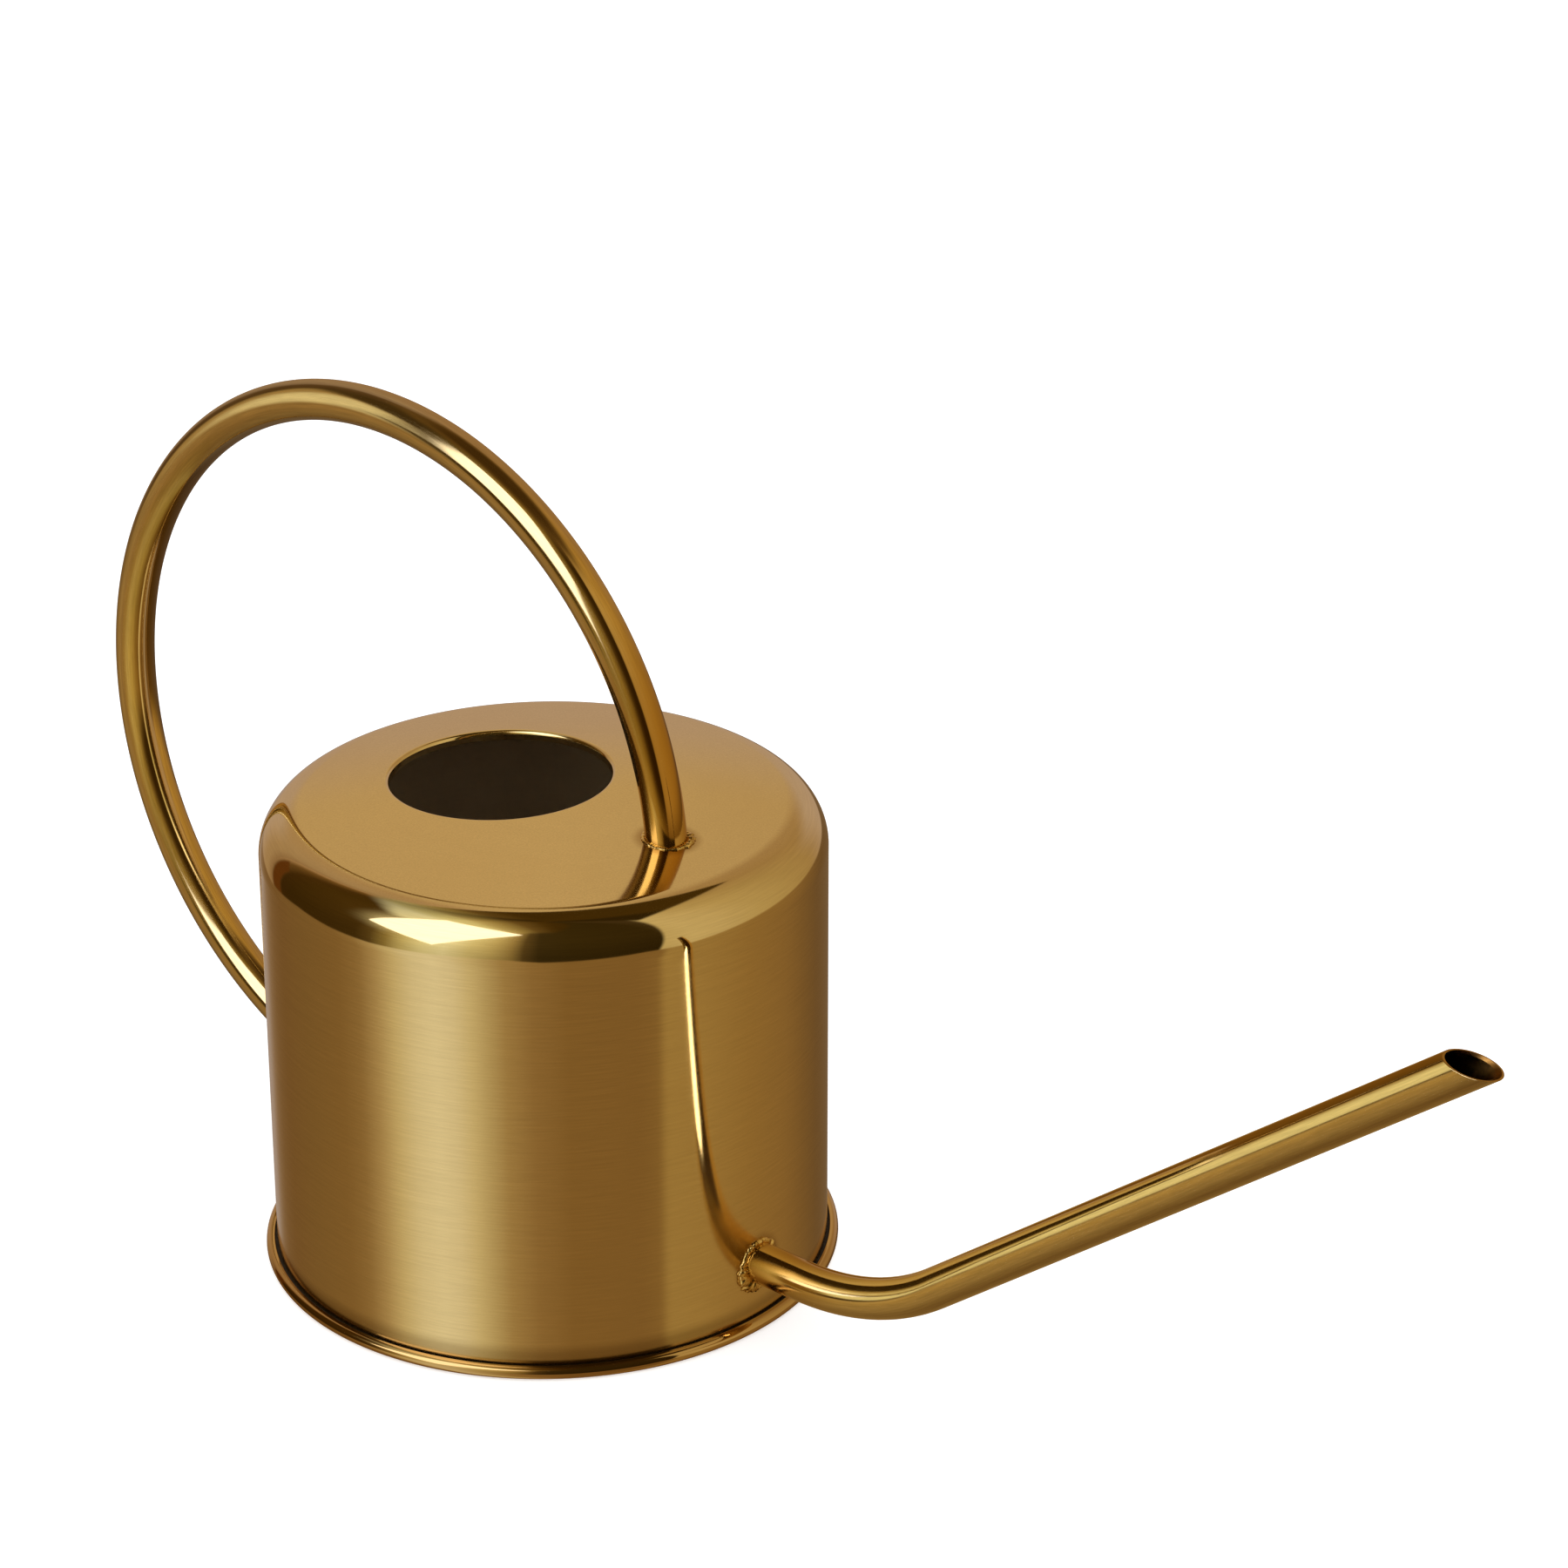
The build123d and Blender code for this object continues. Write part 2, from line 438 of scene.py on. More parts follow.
def tube_brass():
    """Drawn tube, buffed by hand: its reflections are drawn out along its length."""
    material, net, shader = surface("tube_brass")
    brushed(net, shader, 0.85, direction_type="UV_MAP", uv_map="wrap")
    grain = net.add("Attribute", attribute_name="grain").outputs["Vector"]
    streaks = net.noise(net.stretch(grain, 2.2, 2.2, 0.12), 1.0, 5.0, 0.65)
    specks = net.noise(net.stretch(grain, 5.0, 5.0, 2.2), 1.0, 3.0, 0.6)
    patches = net.noise(net.stretch(grain, 0.16, 0.16, 0.045), 1.0, 4.0, 0.6)
    tone = net.span(streaks, 0.3, 0.7, kind="LINEAR")
    colour = net.mix(tone, scaled(BRASS, 0.84), scaled(BRASS, 1.08))
    x = net.add("SeparateXYZ", net.place()).outputs["X"]
    # Darker near the spout's root and the handle's upper end, where the tubes meet the body
    darker_near_welds = net.times(net.span(x, 0.098, 0.072), net.span(x, 0.02, 0.04))
    colour = net.mix(darker_near_welds, colour, (0.67, 0.46, 0.17))
    marks = net.times(net.span(specks, 0.70, 0.78), 0.55)
    colour = net.mix(marks, colour, (0.34, 0.18, 0.06))
    join(net, colour, shader, "Base Color")
    rough = net.total(0.085, net.swing(patches, 0.10), net.swing(streaks, 0.06))
    join(net, rough, shader, "Roughness")
    relief(net, shader, net.total(streaks, net.times(specks, 0.5)), 0.07, 0.00003)
    return material


def raw_inside():
    """Unpolished sheet inside the body, matt and oxidised, and lighter where the mouth lets the light
    fall on it."""
    material, net, shader = surface("raw_inside", 0.45)
    shader.inputs["Specular IOR Level"].default_value = 0.2
    where = net.place()
    patches = net.noise(where, 60.0, 5.0, 0.6)
    lines = net.noise(net.stretch(where, 60, 60, 2200), 1.0, 4.0, 0.6)
    axes = net.add("SeparateXYZ", where).outputs
    lit = net.span(net.total(axes["X"], net.times(axes["Y"], 0.7)), -0.02, 0.05)
    colour = net.mix(patches, (0.38, 0.27, 0.14), (0.50, 0.37, 0.20))
    colour = net.mix(net.times(lit, 0.7), colour, (0.95, 0.80, 0.50))
    join(net, colour, shader, "Base Color")
    join(net, net.span(lines, 0.3, 0.7, 0.34, 0.5, "LINEAR"), shader, "Roughness")
    relief(net, shader, lines, 0.2, 0.00004)
    return material


def tube_bore():
    """Inside of the tubes, never polished; its dark brown colour is painted shade for the inside of the
    bore.
    """
    material, net, shader = surface("tube_bore")
    patches = net.noise(net.place(), 300.0, 4.0, 0.6)
    colour = net.mix(net.span(patches, 0.35, 0.65), (0.16, 0.09, 0.03), (0.34, 0.20, 0.07))
    join(net, colour, shader, "Base Color")
    shader.inputs["Roughness"].default_value = 0.3
    return material


def weld_metal():
    """Brazed bead: bright gold where it flowed, with dark pits and burnt flux."""
    material, net, shader = surface("weld_metal")
    where = net.place()
    patches = net.noise(where, 420.0, 4.0, 0.6)
    pits = net.noise(where, 1500.0, 3.0, 0.6)
    colour = net.mix(net.span(patches, 0.38, 0.62), (0.62, 0.42, 0.15), (0.98, 0.78, 0.38))
    burnt = net.times(net.span(pits, 0.62, 0.74), 0.6)
    join(net, net.mix(burnt, colour, (0.20, 0.11, 0.04)), shader, "Base Color")
    join(net, net.span(pits, 0.3, 0.7, 0.08, 0.34, "LINEAR"), shader, "Roughness")
    relief(net, shader, pits, 0.2, 0.00008)
    return material


def sealant():
    """Black compound in the foot seam, matt and lumpy."""
    material, net, shader = surface("sealant", 0.0)
    lumps = net.noise(net.place(), 900.0, 3.0)
    join(net, net.mix(lumps, (0.012, 0.009, 0.006), (0.05, 0.035, 0.02)), shader, "Base Color")
    join(net, net.span(lumps, 0.3, 0.7, 0.6, 0.85, "LINEAR"), shader, "Roughness")
    relief(net, shader, lumps, 0.4, 0.0001)
    return material


BODY = body_brass()
TUBE = tube_brass()
# The base plate's brass is darker than the body's and the lip's: painted shade
BASE = polished_brass("base_brass", (0.05, 0.05, 2.0), 0.045, (0.70, 0.51, 0.27))
LIP = polished_brass("lip_brass", (0.3, 0.3, 0.3), 0.06, BRASS)
INSIDE = raw_inside()
BORE = tube_bore()
WELD = weld_metal()
SEAL = sealant()


# ---------------------------------------------------------------- pieces

def deck_skin(skin, radius, start, start_dirs, stop_dirs, slot, side, rows):
    """Skin over the dome between two rings, given as directions from its centre."""
    before, before_dirs = start, start_dirs
    for k in range(1, rows + 1):
        dirs = [a.lerp(b, k / rows).normalized() for a, b in zip(start_dirs, stop_dirs)]
        ring = skin.ring([DOME_CENTRE + d * radius for d in dirs])
        skin.band(before, ring, [d * side for d in before_dirs], [d * side for d in dirs], slot)
        before, before_dirs = ring, dirs
    return before


def make_body():
    """One closed sheet: outside of wall, shoulder and deck, the mouth's rolled lip, and
    back down the inside to the foot flange."""
    skin = Skin()
    metal, raw, lip = 0, 1, 2
    inner_r = BODY_R - SHEET
    flange_top = FLANGE_Z + SHEET
    up_to = pi / 2 - SHOULDER_LEAN
    outside = [
        (line((inner_r, FLANGE_Z), (FLANGE_R, FLANGE_Z), 2), raw),
        (line((FLANGE_R, FLANGE_Z), (FLANGE_R, flange_top)), raw),
        (line((FLANGE_R, flange_top), (BODY_R, flange_top)), raw),
        (line((BODY_R, flange_top), (BODY_R, SHOULDER_Z), 36), metal),
        (arc(SHOULDER_X, SHOULDER_Z, SHOULDER_R, 0, up_to, 40), metal),
    ]
    foot, shoulder = turned(skin, outside, upright, upright)

    lip_x = MOUTH_R + LIP_R
    lip_h = sqrt((DOME_R - LIP_R) ** 2 - lip_x ** 2)
    tilt = atan2(lip_x, lip_h)
    rim_dirs = [upright(sin(SHOULDER_LEAN), cos(SHOULDER_LEAN), a) for a in ANGLES]
    mouth_dirs = [mouth_aim(sin(tilt), cos(tilt), a) for a in ANGLES]
    mouth = deck_skin(skin, DOME_R, shoulder, rim_dirs, mouth_dirs, metal, 1, 28)

    bend = pi / 2 - tilt
    end_h = lip_h - LIP_DROP
    back_r = MOUTH_R + SHEET
    edge = 0.1
    rolled = [
        (arc(lip_x, lip_h, LIP_R, bend, pi, 16), lip),
        (line((MOUTH_R, lip_h), (MOUTH_R, end_h + edge)), lip),
        (arc(MOUTH_R + edge, end_h + edge, edge, pi, 1.5 * pi, 3), lip),
        (line((MOUTH_R + edge, end_h), (back_r - edge, end_h)), raw),
        (arc(back_r - edge, end_h + edge, edge, 1.5 * pi, 2 * pi, 3), raw),
        (line((back_r, end_h + edge), (back_r, lip_h)), raw),
        (arc(lip_x, lip_h, LIP_R - SHEET, pi, bend, 8), raw),
    ]
    _, under = turned(skin, rolled, mouth_place, mouth_aim, mouth)
    under = deck_skin(skin, DOME_R - SHEET, under, mouth_dirs, rim_dirs, raw, -1, 14)
    inside = [
        (arc(SHOULDER_X, SHOULDER_Z, SHOULDER_R - SHEET, up_to, 0, 14), raw),
        (line((inner_r, SHOULDER_Z), (inner_r, FLANGE_Z), 12), raw),
    ]
    turned(skin, inside, upright, upright, under, foot)
    return skin.build("body_shell_visual", [BODY, INSIDE, LIP])


def make_base():
    """Base plate: raised floor, flat ring that the can stands on, and the curled edge."""
    skin = Skin()
    top, centre_r = 2 * BEAD_R, 1.5
    edge = 0.15
    turn_r = CURL_R + edge
    above = [
        (arc(BEAD_X, BEAD_R, BEAD_R, -pi / 2, pi / 2, 28), 0),
        (line((BEAD_X, top), (turn_r, top)), 0),
        (arc(turn_r, top - edge, edge, pi / 2, pi, 4), 0),
        (line((CURL_R, top - edge), (CURL_R, top - SHEET + edge)), 0),
        (arc(turn_r, top - SHEET + edge, edge, pi, 1.5 * pi, 4), 0),
        (line((turn_r, top - SHEET), (BEAD_X, top - SHEET)), 0),
        (arc(BEAD_X, BEAD_R, BEAD_R - SHEET, pi / 2, -pi / 2, 14), 0),
        (line((BEAD_X, SHEET), (REST_R, SHEET), 4), 0),
        (line((REST_R, SHEET), (FLOOR_R, FLOOR_Z + SHEET), 2), 0),
        (line((FLOOR_R, FLOOR_Z + SHEET), (centre_r, FLOOR_Z + SHEET), 20), 0),
    ]
    below = [
        (line((centre_r, FLOOR_Z), (FLOOR_R, FLOOR_Z), 20), 0),
        (line((FLOOR_R, FLOOR_Z), (REST_R, 0.0), 2), 0),
        (line((REST_R, 0.0), (BEAD_X, 0.0), 4), 0),
    ]
    outer, upper = turned(skin, above, upright, upright)
    lower, _ = turned(skin, below, upright, upright, None, outer)
    skin.cap(upper, Vector((0, 0, FLOOR_Z + SHEET)), 1)
    skin.cap(lower, Vector((0, 0, FLOOR_Z)), -1)
    return skin.build("base_plate_visual", [BASE])


def handle_line(angle):
    """Point and direction of the handle's centre line at an angle about its centre."""
    point = Vector((HANDLE_X + HANDLE_R * cos(angle), 0, HANDLE_Z + HANDLE_R * sin(angle)))
    return point, Vector((-sin(angle), 0, cos(angle)))


def spout_line(s):
    """Point and direction of the spout's centre line, s millimetres from the wall."""
    if s <= BEND_START:
        return Vector((BODY_R + s, 0, SPOUT_Z)), Vector((1, 0, 0))
    a = min((s - BEND_START) / BEND_R, RISE)
    point = Vector((BEND_X + BEND_R * sin(a), 0, SPOUT_Z + BEND_R * (1 - cos(a))))
    along = Vector((cos(a), 0, sin(a)))
    beyond = max(s - BEND_START - BEND_LENGTH, 0)
    return point + along * beyond, along


def around(line_at, s, r, turn):
    """Point on a tube of radius r about the line, and the outward direction there."""
    point, along = line_at(s)
    side = Vector((-along.z, 0, along.x))
    out = side * cos(turn) + Vector((0, 1, 0)) * sin(turn)
    return point + out * r, out


def meeting(line_at, low, high, r, turn, gap):
    """Where a line on the tube is gap away from the body; it is nearer at low."""
    for _ in range(40):
        middle = (low + high) / 2
        if body_gap(around(line_at, middle, r, turn)[0]) < gap:
            low = middle
        else:
            high = middle
    return (low + high) / 2


def tube_wall(skin, line_at, start, stop, rows, r, side, pace):
    """Outside (side 1) or inside (-1) of a tube whose ends depend on the turn. The grain
    runs along it, pace millimetres for each unit of the line. Returns each end's ring
    with its normals."""
    ends = [(start(t), stop(t)) for t in TURNS]
    rings = []
    for k in range(rows + 1):
        u = k / rows
        points, normals, grain = [], [], []
        for t, (a, b) in zip(TURNS, ends):
            s = a + (b - a) * u
            point, out = around(line_at, s, r, t)
            points.append(point)
            normals.append(out * side)
            grain.append(Vector((r * cos(t), r * sin(t), s * pace)))
        ring = skin.ring(points, grain)
        if rings:
            slot = 0 if side > 0 else 1
            skin.band(rings[-1][0], ring, rings[-1][1], normals, slot, (u - 1 / rows, u))
        rings.append((ring, normals))
    return rings[0], rings[-1]


def sunk_end(limits, r):
    """Where a wall of the handle ends at each turn: a little way into the body's skin."""
    return lambda turn: meeting(handle_line, *limits, r, turn, -0.35)


def make_handle():
    """A ring of bent tube, from the deck over the top and round to the wall."""
    skin = Skin()
    outer, inner = [
        tube_wall(
            skin, handle_line, sunk_end(HANDLE_TOP, r), sunk_end(HANDLE_REAR, r), 240, r, side, HANDLE_R
        )
        for r, side in ((TUBE_R, 1), (TUBE_R - TUBE_WALL, -1))
    ]
    for end, at, way in ((0, HANDLE_TOP[0], -1), (1, HANDLE_REAR_FACE, 1)):
        normals = [handle_line(at)[1] * way] * TUBE_STEPS
        skin.band(outer[end][0], inner[end][0], normals, normals, 1)
    return skin.build("handle_tube_visual", [TUBE, BORE])


def make_spout():
    """Tube through the wall, with a bend and a rounded, slanting end."""
    skin = Skin()
    total = BEND_START + BEND_LENGTH + STRAIGHT
    inner_r = TUBE_R - TUBE_WALL
    edge, bevel, bevel_depth = 0.12, 0.42, 0.9

    def root(turn):
        return SPOUT_INLET

    def slant(r, trim=0.0):
        return lambda turn: total - r * cos(turn) - trim

    outer = tube_wall(skin, spout_line, root, slant(TUBE_R, edge), 220, TUBE_R, 1, 1.0)
    inner = tube_wall(skin, spout_line, root, slant(inner_r, bevel_depth), 220, inner_r, -1, 1.0)
    back = [Vector((-1, 0, 0))] * TUBE_STEPS
    skin.band(outer[0][0], inner[0][0], back, back, 1)

    def rim_ring(r):
        return skin.ring([around(spout_line, slant(r)(t), r, t)[0] for t in TURNS])

    rise = Vector((cos(RISE), 0, sin(RISE)))
    cut = (rise + Vector((-rise.z, 0, rise.x))).normalized()
    face = [cut] * TUBE_STEPS
    outside = rim_ring(TUBE_R - edge)
    inside = rim_ring(TUBE_R - bevel)
    skin.band(outer[1][0], outside, outer[1][1], face, 0)
    skin.band(outside, inside, face, face, 0)
    slope = [(n + cut * 0.4).normalized() for n in inner[1][1]]
    skin.band(inside, inner[1][0], slope, slope, 1)
    return skin.build("spout_tube_visual", [TUBE, BORE])


def make_weld(name, line_at, low, high, radius, seed, heavy):
    """A rippled bead along the line where the tube meets the body, thickest at the turn
    given by heavy."""
    skin = Skin()
    rings = []
    for i in range(WELD_STEPS):
        turn = 2 * pi * i / WELD_STEPS
        spot = Vector((cos(turn), sin(turn), 0.0)) * 3.0
        swell = 1 + 0.25 * noise.noise(spot + Vector((0, 0, seed)))
        swell += 1.1 * max(0.0, cos(turn - heavy)) ** 3
        reach = TUBE_R + 0.05 + 0.3 * swell
        s = meeting(line_at, low, high, reach, turn, 0.05)
        centre, out = around(line_at, s, reach, turn)
        up = body_normal(centre)
        out = (out - up * out.dot(up)).normalized()
        wander = 2.5 * noise.noise(spot * 2.0 + Vector((0, 0, seed + 9)))
        points = []
        for k in range(WELD_SECTION):
            a = 2 * pi * k / WELD_SECTION
            ripple = sin(26 * turn + 1.1 * cos(a) + 3 * wander)
            lump = noise.noise(Vector((cos(turn) * 7, sin(turn) * 7, seed + 1.5 * sin(a))))
            r = radius * swell * (1 + 0.03 * ripple + 0.30 * lump * swell)
            points.append(centre + (out * cos(a) * 1.15 + up * sin(a) * 0.8) * r)
        rings.append(skin.ring(points))
    for low_ring, high_ring in zip(rings, rings[1:] + rings[:1]):
        for k in range(WELD_SECTION):
            m = (k + 1) % WELD_SECTION
            skin.faces.append([low_ring[k], low_ring[m], high_ring[m], high_ring[k]])
            skin.slots.append(0)
    return skin.build(name, [WELD], smooth_only=True)


def hand_in(piece, node):
    """Puts a piece on the can's one body in place of its CAD node."""
    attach(piece, "root")
    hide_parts(node)
    return piece


body = hand_in(make_body(), "body_shell")
base = hand_in(make_base(), "base_plate")
handle = hand_in(make_handle(), "handle_tube")
spout = hand_in(make_spout(), "spout_tube")
welds = [
    hand_in(make_weld(node + "_visual", *settings), node)
    for node, *settings in (
        ("handle_top_weld", handle_line, *HANDLE_TOP, 0.42, 1.0, 2.4),
        ("handle_rear_weld", handle_line, *HANDLE_REAR, 0.60, 4.0, 0.0),
        ("spout_weld", spout_line, -4.0, 12.0, 0.80, 7.0, 3.9),
    )
]

# The seam's ring of sealing compound is the CAD piece itself
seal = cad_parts["seam_sealant"]
seal.data.materials.clear()
seal.data.materials.append(SEAL)


# ---------------------------------------------------------------- studio

def off_brass(*light):
    """Light that brass reflects as this light."""
    return tuple(value / metal for value, metal in zip(light, BRASS))


def linear(value):
    """Light that the display shows as this value of 0 to 255."""
    value /= 255
    return value / 12.92 if value <= 0.04045 else ((value + 0.055) / 1.055) ** 2.4


def seen(*colour):
    """Light that brass shows as this display colour."""
    return off_brass(*(linear(value) for value in colour))


SOFTBOX = off_brass(1.7, 1.3, 0.70)


def toward(azimuth, elevation):
    """Direction at an azimuth and an elevation in degrees."""
    a, e = radians(azimuth), radians(elevation)
    return Vector((cos(e) * cos(a), cos(e) * sin(a), sin(e)))


class Sky:
    """Paints the studio by the direction that a reflection looks in. Walls, panels and
    openings have straight edges, so each edge is a plane through the viewer."""

    def __init__(self, net, ray):
        self.net = net
        self.ray = ray
        x, y, self.z = net.add("SeparateXYZ", ray).outputs
        self.height = net.times(net.math("ARCSINE", self.z), 180 / pi)
        around_z = net.total(net.math("ARCTAN2", y, x), pi)
        self.turn = net.math("DIVIDE", around_z, 2 * pi)

    def by_turn(self, *stops):
        """Colour by the azimuth in degrees."""
        return self.net.ramp(self.turn, [((at + 180) / 360, colour) for at, colour in stops])

    def level_by_turn(self, *stops):
        """Number between 0 and 1 by the azimuth in degrees."""
        greys = self.by_turn(*((at, (level, level, level)) for at, level in stops))
        return self.net.add("SeparateColor", greys).outputs[0]

    def by_height(self, *stops):
        """Colour by the elevation in degrees."""
        up = self.net.math("DIVIDE", self.net.total(self.height, 90.0), 180.0)
        return self.net.ramp(up, [((at + 90) / 180, colour) for at, colour in stops])

    def beyond(self, start, stop, soft):
        """1 on the left of the edge that runs between two directions, 0 on its right."""
        side = self.net.dot(self.ray, tuple(toward(*start).cross(toward(*stop)).normalized()))
        return self.net.span(side, -soft, soft)

    def panel(self, corners, soft):
        """1 inside a convex panel whose corners go anticlockwise as the viewer sees it."""
        inside = 1.0
        for start, stop in zip(corners, corners[1:] + corners[:1]):
            inside = self.net.times(inside, self.beyond(start, stop, soft))
        return inside

    def spot(self, azimuth, elevation, near, far):
        """1 within near degrees of a direction, 0 beyond far."""
        lean = self.net.dot(self.ray, tuple(toward(azimuth, elevation)))
        return self.net.span(lean, cos(radians(far)), cos(radians(near)))


def body_dark(sky):
    """Dark opening on the near side, with the softbox's spill lighting what is under it."""
    net = sky.net
    near = sky.by_turn(
        (-180, seen(142, 104, 58)),
        (-176.5, seen(92, 60, 20)),
        (-169, seen(56, 33, 5)),
        (-160, seen(54, 33, 4)),
        (-124, seen(60, 38, 7)),
        (-117, seen(80, 56, 18)),
        (-110, seen(128, 100, 42)),
        (-103, seen(176, 150, 82)),
        (-95, seen(200, 178, 112)),
        (-86, seen(206, 185, 124)),
        (-76, seen(182, 157, 92)),
        (-67, seen(158, 131, 69)),
        (-60, seen(126, 98, 45)),
        (-55, seen(72, 51, 18)),
        (-49, seen(48, 33, 8)),
        (-35, seen(45, 30, 5)),
        (0, seen(42, 27, 4)),
        (180, seen(142, 104, 58)),
    )
    spill = net.span(sky.height, 0.0, 35.0, 1.0, 1.45, "LINEAR")
    near = net.mix(1.0, near, spill, "MULTIPLY")
    rust = sky.panel([(-178, 20), (-178, -16), (-170.5, -16), (-170.5, 14)], 0.02)
    return net.mix(rust, near, seen(90, 47, 9))


def body_wall(sky):
    """Light wall on the right and behind, paler in its far corner."""
    net = sky.net
    wall = sky.by_turn(
        (-180, seen(142, 104, 58)),
        (0, seen(186, 152, 84)),
        (12, seen(192, 158, 90)),
        (26, seen(188, 153, 86)),
        (45, seen(177, 141, 74)),
        (70, seen(164, 127, 64)),
        (95, seen(156, 116, 59)),
        (112, seen(160, 120, 64)),
        (124, seen(180, 141, 80)),
        (134, seen(187, 148, 85)),
        (146, seen(184, 145, 83)),
        (156, seen(167, 127, 72)),
        (168, seen(164, 126, 74)),
        (175, seen(160, 123, 72)),
        (180, seen(142, 104, 58)),
    )
    far = net.times(net.span(sky.turn, 0.72, 0.8), net.span(sky.turn, 0.98, 0.94))
    far = net.times(far, net.span(sky.height, 26.0, 12.0))
    return net.mix(far, wall, seen(177, 143, 100))


def body_ceiling(sky):
    """Dark overhead, lit towards the softbox."""
    net = sky.net
    lean = net.dot(sky.ray, (-0.6, -0.8, 0.0))
    drift = net.math("DIVIDE", lean, net.math("MAXIMUM", sky.z, 0.05))
    lit = net.ramp(net.times(drift, 1.6), [
        (0.0, seen(64, 40, 5)),
        (0.06, seen(72, 46, 8)),
        (0.19, seen(100, 70, 24)),
        (0.32, seen(150, 119, 54)),
        (0.43, seen(180, 149, 78)),
        (0.50, seen(203, 176, 100)),
        (0.64, seen(210, 186, 110)),
        (0.80, seen(226, 205, 140)),
    ])
    shade = sky.level_by_turn(
        (-180, 0.40), (-161, 0.57), (-144, 0.80), (-126, 1.0), (100, 1.0), (150, 0.95),
        (165, 0.85), (180, 0.40),
    )
    lit = net.mix(1.0, lit, shade, "MULTIPLY")
    unlit = net.mix(net.span(sky.turn, 0.6, 0.66), seen(46, 29, 4), lit)
    return net.mix(net.span(sky.turn, 0.36, 0.60), lit, unlit)


def is_ceiling(sky):
    """1 above the walls' top edge, which drops to a notch behind the can. The edge is
    given in hundreds of degrees."""
    net = sky.net
    brow = sky.level_by_turn(
        (-180, 0.55), (-155, 0.555), (-140, 0.53), (-130, 0.51), (-123, 0.54), (-112, 0.66),
        (-60, 0.62), (-40, 0.62), (0, 0.95), (150, 0.95), (168, 0.60), (180, 0.55),
    )
    over = net.span(net.total(sky.height, net.times(brow, -100.0)), -4.0, 4.0)
    left = sky.beyond((12.8, 61.5), (93, 50), 0.022)
    right = sky.beyond((93, 50), (152, 62), 0.022)
    notch = net.times(net.times(left, right), net.span(sky.turn, 0.53, 0.55))
    return net.math("MAXIMUM", over, notch)


def body_table(sky):
    """Tan table, light under the softbox."""
    return sky.by_turn(
        (-180, seen(116, 80, 36)),
        (-160, seen(119, 84, 37)),
        (-138, seen(126, 89, 39)),
        (-127, seen(138, 101, 48)),
        (-118, seen(166, 131, 72)),
        (-110, seen(192, 162, 98)),
        (-101, seen(208, 182, 123)),
        (-92, seen(215, 190, 132)),
        (-84, seen(208, 182, 124)),
        (-77, seen(195, 166, 103)),
        (-70, seen(174, 143, 82)),
        (-63, seen(154, 118, 60)),
        (-52, seen(137, 99, 46)),
        (-38, seen(126, 88, 37)),
        (-10, seen(124, 86, 36)),
        (-1, seen(128, 90, 38)),
        (2, seen(153, 115, 52)),
        (20, seen(150, 111, 49)),
        (43, seen(140, 100, 42)),
        (66, seen(132, 93, 40)),
        (80, seen(120, 84, 37)),
        (96, seen(108, 76, 36)),
        (120, seen(116, 86, 48)),
        (140, seen(168, 143, 110)),
        (155, seen(164, 137, 103)),
        (162, seen(138, 105, 64)),
        (170, seen(122, 87, 44)),
        (180, seen(116, 80, 36)),
    )


def is_above_table(sky):
    """1 above the table's edge, which is given in hundreds of degrees below level."""
    net = sky.net
    edge = sky.level_by_turn(
        (-180, 0.17), (-167, 0.15), (-157, 0.13), (-138, 0.14), (-118, 0.13), (-90, 0.06),
        (-76, 0.02), (-60, 0.02), (-48, 0.065), (-8, 0.06), (6, 0.09), (82, 0.08), (150, 0.10),
        (180, 0.17),
    )
    return net.span(net.total(sky.height, net.times(edge, 100.0)), -1.2, 1.2)


def body_sky(sky):
    """The studio from the body."""
    net = sky.net
    lamp = [(-124.0, 66.5), (-124.5, 28.3), (-91.0, 15.2), (-58.5, 56.2)]
    right = sky.beyond((12.8, 62), (-1.4, -0.4), 0.02)
    right = net.times(right, net.span(sky.turn, 0.3, 0.4))
    right = net.math("MAXIMUM", right, net.span(sky.turn, 0.6, 0.7))
    colour = net.mix(right, body_dark(sky), body_wall(sky))
    colour = net.mix(is_ceiling(sky), colour, body_ceiling(sky))
    colour = net.mix(is_above_table(sky), body_table(sky), colour)
    halo = net.times(sky.panel(lamp, 0.22), net.span(sky.turn, 0.23, 0.17))
    colour = net.mix(halo, colour, seen(226, 198, 124))
    return net.mix(sky.panel(lamp, 0.006), colour, SOFTBOX)


